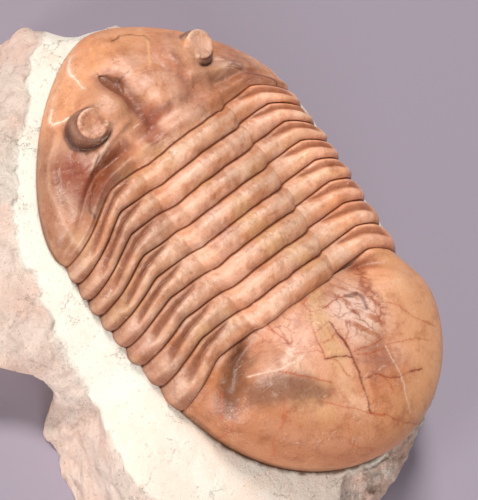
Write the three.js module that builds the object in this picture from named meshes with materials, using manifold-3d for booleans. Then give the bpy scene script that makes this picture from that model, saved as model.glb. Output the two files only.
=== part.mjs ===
// An Asaphus trilobite lying on a loose piece of limestone.
// Millimetres. +Y points to the head, +X to the animal's right side and +Z up.
import * as THREE from 'three';
import Module from 'manifold-3d';

// Body: eight thoracic segments between the head shield and the tail shield
const SEGMENTS = 8;
const FIRST_EDGE = -0.57;
const PITCH = 3.6;
const PITCH_GROWTH = 0.018;
const GAP = 0.3;
const SEAT = -1.0;
const RIM = 0.6;

// Cross section of the thorax: an arched axis, a flat inner part, and a flank falling from the knee
const AXIS_SHARE = 0.42;
const KNEE_SHARE = 0.62;
const CREST = 2.58;
const CREST_POWER = 1.3;
const FLANK_SPREAD = 0.75;
const FLANK_DROP = 1.18;

// Plan of a boundary: bowed over the axis, a step forward at the axial furrow, and a turn about the middle
const BOW = 0.37;
const AXIS_STEP = 0.4;
const STEP_START = 0.345;
const STEP_END = 0.445;
const SKEW = 0.005;

// Roll of each segment, and the furrow that runs across each pleura
const AXIS_ROLL = 0.85;
const PLEURA_ROLL = 0.75;
const FURROW_DEPTH = 0.6;
const FURROW_WIDTH = 0.13;
const FURROW_START = 0.46;
const FURROW_END = 0.8;
const TIP_SCALLOP = 0.06;
const SEGMENT_ROWS = [0, 0.1, 0.3, 0.45, 0.6, 0.85, 1];

// Head shield: outline, a little wider on the left (skew), and dome
const HEAD = {
  y: -5.0, way: 1, halfWidth: 23.75, skew: -0.75, length: 24.6, power: 1.52, corner: 0.6, turn: -0.5,
};
const HEAD_DOME = { height: 9.4, fall: 2.78, round: 2.47 };
const HEAD_ROWS = 16;

// Tail shield: outline and dome, with the tip turned a little to the animal's right
const TAIL = {
  y: -32.9, way: -1, halfWidth: 21.1, skew: 0.4, length: 22.4, power: 1.91, corner: 0.6, turn: 2.5,
};
const TAIL_DOME = { height: 10.6, fall: 4.2, round: 3.0 };
const TAIL_ROWS = 14;

// How much nearer the middle the eye and cheek lie on the right side of the head
const HEAD_SHIFT = 1.5;

// Eyes: short tilted stalks with flat tops. The right one stands a little further forward
const EYE = {
  x: 11.4, y: 8.65, forward: 0.6, top: 9.9, radius: 2.15, foot: 2.9, tall: 4.6, tilt: 0.25, sides: 20,
};

// Stone: a flat base, rough walls and a sloping ledge around the animal
const STONE_CENTRE = new THREE.Vector2(0, -18);
const BASE = -17;
const LEDGE_TOP = -0.5;
const LEDGE_MIN = 0.9;
// Corners of the ledge, as x, y and height, anticlockwise from the right side
const LEDGE_EDGE = [
  [23.8, -18, -1.6], [24.2, -6, -1.6], [19.0, 6, -1.6], [11.2, 13.8, -1.6], [3.6, 19.0, -2.0],
  [0.8, 20.2, -3.0], [-1, 21.6, -3.5], [-2.8, 23.9, -4.0], [-4.3, 25.8, -4.2], [-5.9, 26.3, -4.6],
  [-7.5, 25.8, -5.0], [-9.0, 24.1, -5.0], [-12, 22.8, -5.2], [-26, 17, -5.8], [-36, 7, -6.5],
  [-40, -5, -7.0], [-37.5, -12, -7.0],
  [-32.8, -17.0, -7.2], [-28.6, -24.4, -6.2], [-31.5, -31, -5.6], [-33, -38.5, -5.2], [-28, -50, -5.2],
  [-15, -58, -5.0], [-2, -61, -4.4], [5, -59, -3.4], [10, -56.6, -2.6], [16.5, -51.5, -1.9],
  [21.3, -44, -1.7], [23, -33, -1.6],
];
// How far the foot of the wall stands out beyond the ledge, at the same corners
const FLARE = [
  3.0, 0.5, -1.5, -1.5, -1.5, -1.5, -1.5, -1.5, -1.0, -0.5, 0, 0, 0, -0.5, -1.5, -4.0, -5.0, -4.5,
  3.4, 4.6, 3.5, 2.5, 2.5, 3.0, 3.5, 4.0, 4.5, 4.5, 4.0,
];

// Half widths, heights and backward sweep of the thorax at boundary k, counted from the head.
// On the right side (side 1) the flank is a little narrower.
const axisHalf = (k) => 8.93 - 0.05 * (k - 3) ** 2;
const kneeHalf = (k) => 15.78 - 0.093 * (k - 4.6) ** 2;
const edgeHalf = (k, side) => 23.4 - 0.055 * (k - 2) ** 2 - (side > 0 ? 1.85 - 0.018 * k * k : 0);
const shelfHeight = (k) => 7.11 - 0.079 * (k - 4);
const sweepPower = (k) => 2.3 - 0.077 * k;
function sweepBack(k, side) {
  const from = k - 4;
  return 3.0 - 0.6 * from + 0.1 * from ** 2 + 0.027 * from ** 3 + (side > 0 ? 0.134 * from - 0.28 : 0);
}

// A point of the thorax at boundary k and share s of its width, from -1 at the left tip to 1
function thoraxPoint(k, s) {
  const side = Math.sign(s);
  const t = Math.abs(s);
  let across = 0;
  let back = -AXIS_STEP * THREE.MathUtils.smoothstep(t, STEP_START, STEP_END);
  let up = shelfHeight(k);
  let lean = 0;
  if (t < AXIS_SHARE) {
    const arch = 1 - (t / AXIS_SHARE) ** 2;
    across = axisHalf(k) * t / AXIS_SHARE;
    up += CREST * Math.sqrt(arch) ** CREST_POWER;
    back -= BOW * arch;
    lean = 0.35 * t / AXIS_SHARE;
  } else if (t < KNEE_SHARE) {
    across = THREE.MathUtils.mapLinear(t, AXIS_SHARE, KNEE_SHARE, axisHalf(k), kneeHalf(k));
  } else {
    const o = Math.min((t - KNEE_SHARE) / (1 - KNEE_SHARE), 1);
    const angle = o * Math.PI / 2;
    across = kneeHalf(k) + (edgeHalf(k, side) - kneeHalf(k)) * Math.sin(angle) ** FLANK_SPREAD;
    up *= Math.max(Math.cos(angle), 0) ** FLANK_DROP;
    back += sweepBack(k, side) * (1 - (1 - o) ** sweepPower(k));
    lean = 0.9 * o;
  }
  const x = side * across;
  const y = FIRST_EDGE - PITCH * k - PITCH_GROWTH * k * (k - SEGMENTS) - back - SKEW * (k - SEGMENTS / 2) * x;
  const normal = new THREE.Vector3(side * Math.sin(lean), 0, Math.cos(lean));
  return { point: new THREE.Vector3(x, y, up + RIM * t ** 4), normal };
}

// Plan direction across boundary k at share s, pointing to the head
function towardsHead(k, s) {
  const step = 0.01;
  const a = thoraxPoint(k, Math.max(s - step, -1)).point;
  const b = thoraxPoint(k, Math.min(s + step, 1)).point;
  return new THREE.Vector2(a.y - b.y, b.x - a.x).normalize();
}

// Columns across the body, closer together where the section bends
function columns(axis, inner, outer) {
  const half = [];
  for (let i = 0; i < axis; i++) half.push(AXIS_SHARE * i / axis);
  for (let i = 0; i < inner; i++) half.push(AXIS_SHARE + (KNEE_SHARE - AXIS_SHARE) * i / inner);
  for (let i = 0; i <= outer; i++) half.push(KNEE_SHARE + (1 - KNEE_SHARE) * i / outer);
  return [...half.slice(1).reverse().map((s) => -s), ...half];
}

// A closed mesh from vertices and triangles
function meshGeometry(vertices, faces) {
  const geometry = new THREE.BufferGeometry();
  geometry.setAttribute('position', new THREE.Float32BufferAttribute(vertices.flatMap((v) => v.toArray()), 3));
  geometry.setIndex(faces.flat());
  return geometry;
}

// Closes a grid of top points, front row first and left column first, down to a flat underside
function slab(grid) {
  const rows = grid.length;
  const cols = grid[0].length;
  const vertices = grid.flat();
  const faces = [];
  for (let r = 0; r + 1 < rows; r++) {
    for (let c = 0; c + 1 < cols; c++) {
      const a = r * cols + c;
      faces.push([a, a + cols, a + cols + 1], [a, a + cols + 1, a + 1]);
    }
  }
  // Underside vertices stand below the edge of the grid
  const below = new Map();
  const drop = (r, c) => {
    const top = r * cols + c;
    if (!below.has(top)) below.set(top, vertices.push(vertices[top].clone().setZ(SEAT)) - 1);
    return below.get(top);
  };
  const wall = (r1, c1, r2, c2) => {
    const a = r1 * cols + c1;
    const b = r2 * cols + c2;
    faces.push([a, b, drop(r1, c1)], [b, drop(r2, c2), drop(r1, c1)]);
  };
  const back = rows - 1;
  const right = cols - 1;
  for (let c = 0; c < right; c++) {
    wall(0, c, 0, c + 1);
    wall(back, c + 1, back, c);
    faces.push([drop(0, c), drop(0, c + 1), drop(back, c + 1)], [drop(0, c), drop(back, c + 1), drop(back, c)]);
  }
  for (let r = 0; r < back; r++) {
    wall(r, right, r + 1, right);
    wall(r + 1, 0, r, 0);
    if (r > 0) {
      faces.push([drop(0, 0), drop(r + 1, 0), drop(r, 0)], [drop(0, right), drop(r, right), drop(r + 1, right)]);
    }
  }
  return meshGeometry(vertices, faces);
}

// One thoracic segment: a rounded roll with a slanting furrow on each pleura and rounded tips
function segment(number) {
  const across = columns(4, 3, 7);
  return slab(SEGMENT_ROWS.map((v) => across.map((s) => {
    const t = Math.abs(s);
    const edge = Math.abs(2 * v - 1);
    const trimmed = s * (1 - TIP_SCALLOP * t ** 8 * (0.3 * (1 - v) ** 3 + v ** 5));
    const { point, normal } = thoraxPoint(number - 1 + v, trimmed);
    const onPleura = THREE.MathUtils.smoothstep(t, AXIS_SHARE, KNEE_SHARE);
    const roll = THREE.MathUtils.lerp(AXIS_ROLL, PLEURA_ROLL, onPleura) * (1 - 0.5 * t ** 6);
    const furrowAt = Math.min(0.1 + 2.1 * (t - FURROW_START), 0.44);
    const along = THREE.MathUtils.clamp((t - FURROW_START) / (FURROW_END - FURROW_START), 0, 1);
    const furrow = FURROW_DEPTH * Math.sin(Math.PI * along) * Math.exp(-(((v - furrowAt) / FURROW_WIDTH) ** 2));
    point.addScaledVector(normal, roll * (1 - edge ** 2.6) ** 0.6 - furrow);
    const forward = towardsHead(number - 1 + v, trimmed).multiplyScalar(GAP * (v - 0.5));
    return point.add(new THREE.Vector3(forward.x, forward.y, 0));
  })));
}

// A point of a shield's outline at an angle from its side (0) to its end (a quarter turn)
function shieldEdge(shield, angle, side) {
  const end = Math.sin(angle) ** (2 / shield.power);
  const width = side * shield.halfWidth + shield.skew;
  const x = width * Math.cos(angle) ** (2 / shield.power) + shield.turn * end;
  return new THREE.Vector2(x, shield.y + shield.way * shield.length * end);
}

// A plan point of a shield: v goes from the thorax (0) to the outer edge (1)
function shieldPlan(shield, boundary, s, v) {
  const inner = (share) => {
    const { point } = thoraxPoint(boundary, share);
    return towardsHead(boundary, share).multiplyScalar(shield.way * GAP / 2).add(point);
  };
  const outer = (share) => {
    const angle = Math.PI / 2 - Math.abs(share) * (Math.PI / 2 - shield.corner);
    return shieldEdge(shield, angle, Math.sign(share) || 1);
  };
  const flank = (side) => {
    const start = shieldEdge(shield, 0, side);
    const shift = inner(side).sub(start).multiplyScalar((1 - v) ** 5);
    return shieldEdge(shield, shield.corner * v, side).add(shift);
  };
  const right = (s + 1) / 2;
  const plan = inner(s).multiplyScalar(1 - v).addScaledVector(outer(s), v);
  plan.addScaledVector(flank(-1), 1 - right).addScaledVector(flank(1), right);
  for (const [side, share] of [[-1, 1 - right], [1, right]]) {
    plan.addScaledVector(inner(side), -share * (1 - v)).addScaledVector(outer(side), -share * v);
  }
  return plan;
}

// Height of a shield's dome over a plan point
function domeHeight(shield, dome, x, y) {
  const along = Math.max(shield.way * (y - shield.y) / shield.length, 0);
  const off = x - shield.turn * along;
  const across = Math.abs(off) / (shield.halfWidth + Math.sign(off) * shield.skew);
  const reach = (across ** shield.power + along ** shield.power) ** (1 / shield.power);
  return RIM + dome.height * Math.max(1 - reach ** dome.fall, 0) ** (1 / dome.round);
}

// A soft round rise or hollow, equal on both sides of the body
function swelling(x, y, centreX, centreY, sizeX, sizeY) {
  return Math.exp(-(((Math.abs(x) - centreX) / sizeX) ** 2) - ((y - centreY) / sizeY) ** 2);
}

// Height of the head or tail shield, joined smoothly to the thorax at its boundary
function shieldSurface(shield, dome, boundary, s, v, relief) {
  const plan = shieldPlan(shield, boundary, s, v);
  const edge = thoraxPoint(boundary, s).point;
  const distance = v * Math.hypot(plan.x - edge.x, plan.y - edge.y) / Math.max(v, 1e-6);
  const near = Math.exp(-((distance / 4.5) ** 2));
  const base = THREE.MathUtils.lerp(domeHeight(shield, dome, plan.x, plan.y), edge.z, near);
  const inside = Math.min(1, 4 * (1 - v)) * (1 - Math.abs(s) ** 8);
  return new THREE.Vector3(plan.x, plan.y, base + relief(plan.x, plan.y, distance) * inside);
}

// Distance of a head feature from the middle, counted on the left side
function headOffset(x, y) {
  const { smoothstep } = THREE.MathUtils;
  return Math.abs(x) + HEAD_SHIFT * smoothstep(x, 0, 6) * smoothstep(y, 1, 7);
}

// Head relief: border ring and furrow, glabella, cheek hollows, the rises that carry the eyes from the
// inner side, and a ridge behind each eye
function headRelief(x, y, distance) {
  const off = headOffset(x, y);
  const crest = 1.9 - 0.06 * Math.max(off - 6, 0);
  const ring = 0.75 * Math.exp(-(((distance - crest) / (0.62 * crest)) ** 2));
  const depth = THREE.MathUtils.lerp(0.45, 1.2, THREE.MathUtils.smoothstep(off, 3, 8));
  const furrow = depth * Math.exp(-(((distance - 1.9 * crest) / 1.1) ** 2));
  const glabella = 1.1 * swelling(off, y, 0, 8.5, 6.0, 6.5);
  const cheekHollow = 1.5 * swelling(off, y, 15.6, 4.6, 2.7, 4.4);
  const eyeRise = 1.25 * swelling(off, y, 8.6, 8.3, 2.6, 3.0);
  const backRidge = 0.7 * swelling(off, y, 11.0, 5.1, 3.4, 0.9);
  return ring - furrow + glabella - cheekHollow + eyeRise + backRidge;
}

// Tail relief: a low axis and a short furrow behind each front corner
function tailRelief(x, y, distance) {
  const axis = 0.5 * Math.exp(-(((x - 1) / 6) ** 2));
  const cornerFurrow = 0.9 * swelling(x, y, 15.6, -33.5, 2.6, 1.2);
  return axis * Math.min(distance / 4, 1) - cornerFurrow;
}

function shieldGrid(shield, dome, boundary, rows, relief) {
  const across = columns(7, 4, 8);
  const grid = [];
  for (let r = 0; r <= rows; r++) {
    grid.push(across.map((s) => shieldSurface(shield, dome, boundary, s, r / rows, relief)));
  }
  return shield.way > 0 ? grid.reverse() : grid;
}

// Joins closed meshes into one body
const wasm = await Module();
wasm.setup();
function join(geometries) {
  const bodies = geometries.map((geometry) => new wasm.Manifold(new wasm.Mesh({
    numProp: 3,
    vertProperties: new Float32Array(geometry.attributes.position.array),
    triVerts: new Uint32Array(geometry.index.array),
  })));
  const mesh = bodies.reduce((sum, body) => sum.add(body)).getMesh();
  const geometry = new THREE.BufferGeometry();
  geometry.setAttribute('position', new THREE.BufferAttribute(new Float32Array(mesh.vertProperties), 3));
  geometry.setIndex(new THREE.BufferAttribute(new Uint32Array(mesh.triVerts), 1));
  return geometry;
}

// One eye stalk: a tapered column with a slightly domed flat top, leaning outwards
function eyeStalk(side) {
  const rings = [[EYE.foot, -EYE.tall], [EYE.radius, -0.5], [EYE.radius, -0.25], [EYE.radius - 0.3, 0]];
  const vertices = [];
  for (const [radius, height] of rings) {
    for (let i = 0; i < EYE.sides; i++) {
      const turn = 2 * Math.PI * i / EYE.sides;
      vertices.push(new THREE.Vector3(radius * Math.cos(turn), radius * Math.sin(turn), height));
    }
  }
  const foot = vertices.push(new THREE.Vector3(0, 0, -EYE.tall)) - 1;
  const top = vertices.push(new THREE.Vector3(0, 0, 0.1)) - 1;
  const faces = [];
  for (let i = 0; i < EYE.sides; i++) {
    const j = (i + 1) % EYE.sides;
    for (let r = 0; r + 1 < rings.length; r++) {
      const a = r * EYE.sides;
      const b = a + EYE.sides;
      faces.push([a + i, a + j, b + j], [a + i, b + j, b + i]);
    }
    const last = (rings.length - 1) * EYE.sides;
    faces.push([foot, j, i], [top, last + i, last + j]);
  }
  const stalk = meshGeometry(vertices, faces);
  stalk.rotateY(side * EYE.tilt);
  if (side < 0) stalk.translate(-EYE.x, EYE.y, EYE.top);
  else stalk.translate(EYE.x - HEAD_SHIFT, EYE.y + EYE.forward, EYE.top);
  return stalk;
}

// Outline of the whole animal, anticlockwise from the right genal corner
function bodyOutline() {
  const outline = [];
  const across = columns(7, 4, 8);
  const edgeRow = (shield, boundary, shares) => shares.map((s) => shieldPlan(shield, boundary, s, 1));
  const flankRow = (shield, boundary, side, steps) => steps.map((v) => shieldPlan(shield, boundary, side, v));
  const tips = (side, order) => order.map((k) => {
    const { point } = thoraxPoint(k, side);
    return new THREE.Vector2(point.x, point.y);
  });
  const steps = [0.15, 0.3, 0.5, 0.7, 0.85];
  const boundaries = Array.from({ length: SEGMENTS + 1 }, (_, k) => k);
  outline.push(...flankRow(HEAD, 0, 1, steps), ...edgeRow(HEAD, 0, [...across].reverse()));
  outline.push(...flankRow(HEAD, 0, -1, [...steps].reverse()), ...tips(-1, boundaries));
  outline.push(...flankRow(TAIL, SEGMENTS, -1, steps), ...edgeRow(TAIL, SEGMENTS, across));
  outline.push(...flankRow(TAIL, SEGMENTS, 1, [...steps].reverse()), ...tips(1, [...boundaries].reverse()));
  return outline;
}

// Moves a closed anticlockwise outline outwards
function grow(outline, distance) {
  return outline.map((point, i) => {
    const before = outline[(i + outline.length - 1) % outline.length];
    const after = outline[(i + 1) % outline.length];
    const along = after.clone().sub(before).normalize();
    return new THREE.Vector2(point.x + along.y * distance, point.y - along.x * distance);
  });
}

// Ledge radius, ledge height and wall flare in a direction from the stone's centre
function stoneShape(direction) {
  const turn = 2 * Math.PI;
  const corners = LEDGE_EDGE.map(([x, y, height], i) => ({
    direction: (Math.atan2(y - STONE_CENTRE.y, x - STONE_CENTRE.x) + turn) % turn,
    values: [Math.hypot(x - STONE_CENTRE.x, y - STONE_CENTRE.y), height, FLARE[i]],
  }));
  const count = corners.length;
  const at = (i) => corners[(i + count) % count];
  let index = corners.findLastIndex((corner) => corner.direction <= direction);
  if (index < 0) index = count - 1;
  const span = (at(index + 1).direction - at(index).direction + turn) % turn;
  const t = ((direction - at(index).direction + turn) % turn) / span;
  const [a, b, c, d] = [-1, 0, 1, 2].map((step) => at(index + step).values);
  return b.map((value, i) => {
    const slope = (c[i] - a[i]) / 2;
    const next = (d[i] - value) / 2;
    const change = c[i] - value;
    return value + t * slope + t * t * (3 * change - 2 * slope - next) + t ** 3 * (slope + next - 2 * change);
  });
}

// Small bumps of broken stone around the wall
function rough(direction, level) {
  return 0.5 * Math.sin(7 * direction + 2 * level) + 0.35 * Math.sin(13 * direction - 3 * level)
    + 0.25 * Math.sin(23 * direction + 5 * level);
}

// The stone: a flat seat under the animal, a ledge, rough walls and a flat base
function stone() {
  const outline = bodyOutline();
  const seatEdge = grow(outline, GAP);
  const lipEdge = grow(outline, GAP + 0.2);
  const rings = [[], [], [], [], [], [], [], []];
  seatEdge.forEach((point, i) => {
    const lip = lipEdge[i];
    const ray = lip.clone().sub(STONE_CENTRE);
    const direction = (Math.atan2(ray.y, ray.x) + 2 * Math.PI) % (2 * Math.PI);
    const lipRadius = ray.length();
    const [ledge, height, flare] = stoneShape(direction);
    const ledgeRadius = Math.max(ledge, lipRadius + LEDGE_MIN);
    const place = (radius, z) => new THREE.Vector3(
      STONE_CENTRE.x + radius * Math.cos(direction), STONE_CENTRE.y + radius * Math.sin(direction), z);
    rings[0].push(new THREE.Vector3(point.x, point.y, SEAT - GAP));
    rings[1].push(new THREE.Vector3(lip.x, lip.y, LEDGE_TOP));
    const mid = THREE.MathUtils.lerp(lipRadius, ledgeRadius, 0.4);
    rings[2].push(place(mid, THREE.MathUtils.lerp(LEDGE_TOP, height, 0.28)));
    const outer = THREE.MathUtils.lerp(lipRadius, ledgeRadius, 0.75);
    rings[3].push(place(outer, THREE.MathUtils.lerp(LEDGE_TOP, height, 0.62)));
    rings[4].push(place(ledgeRadius, height));
    [0.3, 0.7].forEach((drop, j) => {
      const wall = ledgeRadius + flare * drop + 0.8 + rough(direction, j);
      rings[5 + j].push(place(Math.max(wall, lipRadius + LEDGE_MIN), THREE.MathUtils.lerp(height, BASE, drop)));
    });
    rings[7].push(place(Math.max(ledgeRadius + flare + 0.6 * rough(direction, 2), lipRadius), BASE));
  });
  const count = outline.length;
  const vertices = rings.flat();
  const top = vertices.push(new THREE.Vector3(STONE_CENTRE.x, STONE_CENTRE.y, SEAT - GAP)) - 1;
  const bottom = vertices.push(new THREE.Vector3(STONE_CENTRE.x, STONE_CENTRE.y, BASE)) - 1;
  const faces = [];
  for (let i = 0; i < count; i++) {
    const j = (i + 1) % count;
    faces.push([top, i, j]);
    for (let r = 0; r + 1 < rings.length; r++) {
      const a = r * count;
      const b = a + count;
      faces.push([a + i, b + i, b + j], [a + i, b + j, a + j]);
    }
    const last = (rings.length - 1) * count;
    faces.push([bottom, last + j, last + i]);
  }
  return meshGeometry(vertices, faces);
}

// Materials: caramel-brown calcite shell and pale limestone
const shell = () => new THREE.MeshStandardMaterial({ color: 0xb97a4f, roughness: 0.45, metalness: 0 });
const limestone = () => new THREE.MeshStandardMaterial({ color: 0xe6d8c8, roughness: 0.95, metalness: 0 });

const model = new THREE.Group();
function add(name, geometry, material) {
  geometry.computeVertexNormals();
  const mesh = new THREE.Mesh(geometry, material);
  mesh.name = name;
  model.add(mesh);
}

add('matrix', stone(), limestone());
const headShield = slab(shieldGrid(HEAD, HEAD_DOME, 0, HEAD_ROWS, headRelief));
add('cephalon', join([headShield, eyeStalk(-1), eyeStalk(1)]), shell());
for (let number = 1; number <= SEGMENTS; number++) {
  add(`thorax_segment_${number}`, segment(number), shell());
}
add('pygidium', slab(shieldGrid(TAIL, TAIL_DOME, SEGMENTS, TAIL_ROWS, tailRelief)), shell());

// The origin is the centre of the base
const box = new THREE.Box3().setFromObject(model);
const centre = box.getCenter(new THREE.Vector3());
model.position.set(-centre.x, -centre.y, -box.min.z);

export default model;
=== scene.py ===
"""An Asaphus trilobite lying on a loose piece of limestone."""
from math import pi

import bpy
import numpy as np
from mathutils import Matrix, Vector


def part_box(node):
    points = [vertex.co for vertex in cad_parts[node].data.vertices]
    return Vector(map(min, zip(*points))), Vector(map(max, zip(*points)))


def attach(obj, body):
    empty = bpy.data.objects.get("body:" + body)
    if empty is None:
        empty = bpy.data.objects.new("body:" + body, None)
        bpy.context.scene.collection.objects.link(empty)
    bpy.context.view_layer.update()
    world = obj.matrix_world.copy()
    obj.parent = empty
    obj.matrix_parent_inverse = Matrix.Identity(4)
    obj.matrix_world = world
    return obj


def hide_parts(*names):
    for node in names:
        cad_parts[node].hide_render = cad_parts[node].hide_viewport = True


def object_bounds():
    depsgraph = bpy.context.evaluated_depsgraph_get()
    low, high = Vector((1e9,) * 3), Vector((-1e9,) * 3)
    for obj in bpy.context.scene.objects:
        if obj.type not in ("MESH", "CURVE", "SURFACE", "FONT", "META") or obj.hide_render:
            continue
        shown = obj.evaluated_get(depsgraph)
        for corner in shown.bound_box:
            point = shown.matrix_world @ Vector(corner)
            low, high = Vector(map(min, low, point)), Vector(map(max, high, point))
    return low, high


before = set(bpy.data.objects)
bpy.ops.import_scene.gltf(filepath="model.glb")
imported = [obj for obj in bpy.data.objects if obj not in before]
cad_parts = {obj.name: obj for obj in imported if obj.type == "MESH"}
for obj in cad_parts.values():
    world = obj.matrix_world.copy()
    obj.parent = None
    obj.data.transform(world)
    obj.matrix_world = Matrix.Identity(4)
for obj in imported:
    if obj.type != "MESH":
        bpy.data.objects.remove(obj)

cad_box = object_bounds()

MM = 0.001
METRE = 1000

# Body sizes in millimetres: y = 0 at the rear edge of the head shield, z = 0 at the edge of the animal
SEGMENTS = 8
FIRST_EDGE = -0.57
PITCH = 3.6
PITCH_GROWTH = 0.018
GAP = 0.03
SEAT = -1.0
RIM = 0.6
AXIS_SHARE = 0.42
KNEE_SHARE = 0.62
CREST = 2.58
CREST_POWER = 1.3
FLANK_SPREAD = 0.75
FLANK_DROP = 1.18
BOW = 0.37
AXIS_STEP = 0.4
SKEW = 0.005
TIP_SCALLOP = 0.06
HEAD = dict(boundary=0, y=-5.0, way=1, half_width=23.75, skew=-0.75, length=24.6, power=1.52, corner=0.6,
            turn=-0.5, height=9.4, fall=2.78, round=2.47)
TAIL = dict(boundary=8, y=-32.9, way=-1, half_width=21.1, skew=0.4, length=22.4, power=1.91, corner=0.6,
            turn=2.5, height=10.6, fall=4.2, round=3.0)
# How far the section of the thorax runs into a shield
JOIN_WIDTH = 4.5
MIDLINE = 0.3
HEAD_SHIFT = 1.5
EYE = dict(x=11.4, y=8.65, forward=0.6, top=9.85, tilt=0.16, rim=2.25, foot=2.85, inward=0.05, rearward=0.25)
EYE_CHORD = 1.45
EYE_REACH = 4.5
KNOB = (1.6, -1.3)
STONE_CENTRE = np.array([0.0, -18.0])
BASE = -17.0
# Corners of the stone's ledge (x, y, height) and how far the foot of the wall stands out beyond each
LEDGE = np.array([
    [23.8, -18, -1.6, 3], [24.2, -6, -1.6, 0.5], [19, 6, -1.6, -1.5], [11.2, 13.8, -1.6, -1.5],
    [3.6, 19, -2, -1.5], [0.8, 20.2, -3, -1.5], [-1, 21.6, -3.5, -1.5], [-2.8, 23.9, -4, -1.5],
    [-4.3, 25.8, -4.2, -1], [-5.9, 26.3, -4.6, -0.5], [-7.5, 25.8, -5, 0], [-9, 24.1, -5, 0],
    [-12, 22.8, -5.2, 0], [-26, 17, -5.8, -0.5], [-36, 7, -6.5, -1.5], [-40, -5, -7, -4],
    [-37.5, -12, -7, -5], [-32.8, -17, -7.2, -4.5], [-28.6, -24.4, -6.2, 3.4], [-31.5, -31, -5.6, 4.6],
    [-33, -38.5, -5.2, 3.5], [-28, -50, -5.2, 2.5], [-15, -58, -5, 2.5], [-2, -61, -4.4, 3],
    [5, -59, -3.4, 3.5], [10, -56.6, -2.6, 4], [16.5, -51.5, -1.9, 4.5], [21.3, -44, -1.7, 4.5],
    [23, -33, -1.6, 4],
])
# Plan direction of the fine streaks in the shell
GRAIN = (0.84, -0.55)


# Seeded noise
HASH = (73856093, 19349663, 83492791, 2654435761)
HASH_MIXER = 1274126177
WORD = 0xFFFFFFFF
HALF_WORD = 0xFFFF
LATTICE_START = 1000.0
FAR = 1e9


def hash01(ix, iy, iz, seed):
    """A number from 0 to 1 that depends only on the lattice point and the seed"""
    h = ((ix * HASH[0]) ^ (iy * HASH[1]) ^ (iz * HASH[2]) ^ (seed * HASH[3])) & WORD
    h = ((h ^ (h >> 13)) * HASH_MIXER) & WORD
    return ((h ^ (h >> 16)) & HALF_WORD) / HALF_WORD


def noise(p, size, seed):
    q = np.asarray(p, float) / size + LATTICE_START
    i = np.floor(q).astype(np.int64)
    f = q - i
    f = f * f * f * (f * (f * 6 - 15) + 10)
    total = 0.0
    for dx in (0, 1):
        for dy in (0, 1):
            for dz in (0, 1):
                weight = (np.where(dx, f[..., 0], 1 - f[..., 0]) * np.where(dy, f[..., 1], 1 - f[..., 1])
                          * np.where(dz, f[..., 2], 1 - f[..., 2]))
                total = total + weight * hash01(i[..., 0] + dx, i[..., 1] + dy, i[..., 2] + dz, seed)
    return total * 2 - 1


def fbm(p, size, octaves, seed, gain=0.5):
    total, weight, norm = 0.0, 1.0, 0.0
    for octave in range(octaves):
        total = total + weight * noise(p, size / 2 ** octave, seed + 17 * octave)
        norm += weight
        weight *= gain
    return total / norm


def smooth(low, high, value):
    t = unit((value - low) / (high - low))
    return t * t * (3 - 2 * t)


def unit(value):
    return np.clip(value, 0, 1)


def xy(p):
    return p[..., 0], p[..., 1]


def bell(value, centre, width):
    return np.exp(-((value - centre) / width) ** 2)


def mound(x, y, centre, size):
    return np.exp(-((x - centre[0]) / size[0]) ** 2 - ((y - centre[1]) / size[1]) ** 2)


def plateau(x, y, centre, size):
    """A round rise with a flat top and soft sides"""
    return np.exp(-(((x - centre[0]) / size[0]) ** 2 + ((y - centre[1]) / size[1]) ** 2) ** 2)


def block(x, y, centre, size):
    """A four-sided area with soft borders"""
    return np.exp(-((x - centre[0]) / size[0]) ** 4 - ((y - centre[1]) / size[1]) ** 4)


def near_line(x, y, points, width):
    """1 on a line through the given points, falling to 0 beside it"""
    return bell(line_distance(x, y, points), 0, width)


def line_distance(x, y, points):
    """Distance in plan from each point to a line through the given points"""
    best = np.full(np.shape(x), FAR)
    for (ax, ay), (bx, by) in zip(points[:-1], points[1:]):
        dx, dy = bx - ax, by - ay
        t = unit(((x - ax) * dx + (y - ay) * dy) / (dx * dx + dy * dy))
        best = np.minimum(best, np.hypot(x - ax - t * dx, y - ay - t * dy))
    return best


def cells(p, size, seed):
    """Irregular patches in plan: a random number for each patch and the distance to its border"""
    x = (p[..., 0] + 0.35 * size * fbm(p, size, 3, seed + 1)) / size + LATTICE_START
    y = (p[..., 1] + 0.35 * size * fbm(p, size, 3, seed + 2)) / size + LATTICE_START
    ix, iy = np.floor(x).astype(np.int64), np.floor(y).astype(np.int64)
    nearest, second, number = np.full(x.shape, 9.0), np.full(x.shape, 9.0), np.zeros(x.shape)
    for dx in (-1, 0, 1):
        for dy in (-1, 0, 1):
            cx, cy = ix + dx, iy + dy
            away = np.hypot(cx + hash01(cx, cy, 0, seed) - x, cy + hash01(cx, cy, 1, seed) - y)
            closer = away < nearest
            second = np.where(closer, nearest, np.minimum(second, away))
            number = np.where(closer, hash01(cx, cy, 2, seed), number)
            nearest = np.where(closer, away, nearest)
    return number, (second - nearest) * size / 2


def streaks(p, along, width, seed):
    """Fine parallel streaks that run in one plan direction"""
    run = p[..., 0] * along[0] + p[..., 1] * along[1]
    across = p[..., 0] * along[1] - p[..., 1] * along[0]
    return fbm(np.stack([run / 7, across, 0 * run], -1), width, 3, seed)


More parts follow.
